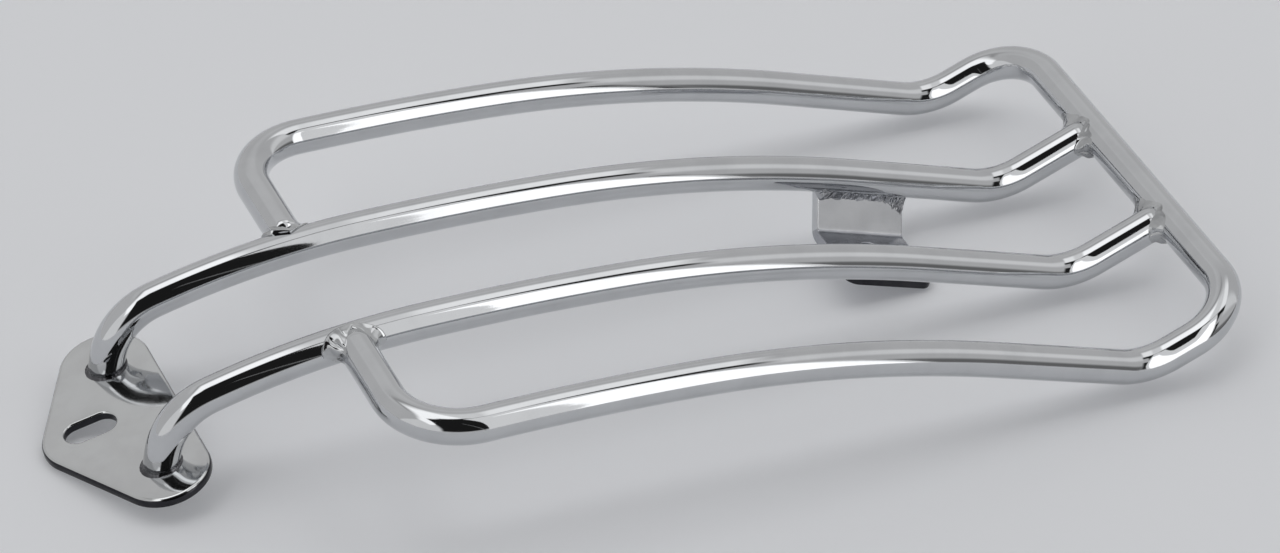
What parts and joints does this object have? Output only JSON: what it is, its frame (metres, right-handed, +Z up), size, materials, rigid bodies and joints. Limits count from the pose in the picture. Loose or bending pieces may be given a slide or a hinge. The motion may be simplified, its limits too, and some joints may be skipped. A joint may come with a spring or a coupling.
{
  "type": "motorcycle luggage rack",
  "caption": "Solo luggage rack of bent chromed round bar: an outer hoop over inner rails that stand on a slotted seat plate, with a folded bracket for a fender bolt.",
  "frame": {"origin": "middle of the rack's length and width, on the flat surface that it rests on", "axes": "+X towards the rear, from the seat plate to the crossbar; +Y across, towards the rail that carries the bracket; +Z up"},
  "size_m": [0.424, 0.1922, 0.0556],
  "materials": {
    "bar": "mirror chrome plating on round steel bar",
    "plate": "mirror chrome plating on flat steel, with a faint waviness",
    "weld": "chrome plating over rippled weld metal"
  },
  "bodies": {
    "root": {"outer_hoop": "bar", "rail_far": "bar", "rail_near": "bar", "front_plate": "plate", "rear_bracket": "plate", "hoop_weld_far": "weld", "hoop_weld_near": "weld", "crossbar_weld_far": "weld", "crossbar_weld_near": "weld", "plate_weld_far": "weld", "plate_weld_near": "weld", "bracket_weld_front": "weld", "bracket_weld_rear": "weld"}
  },
  "joints": []
}
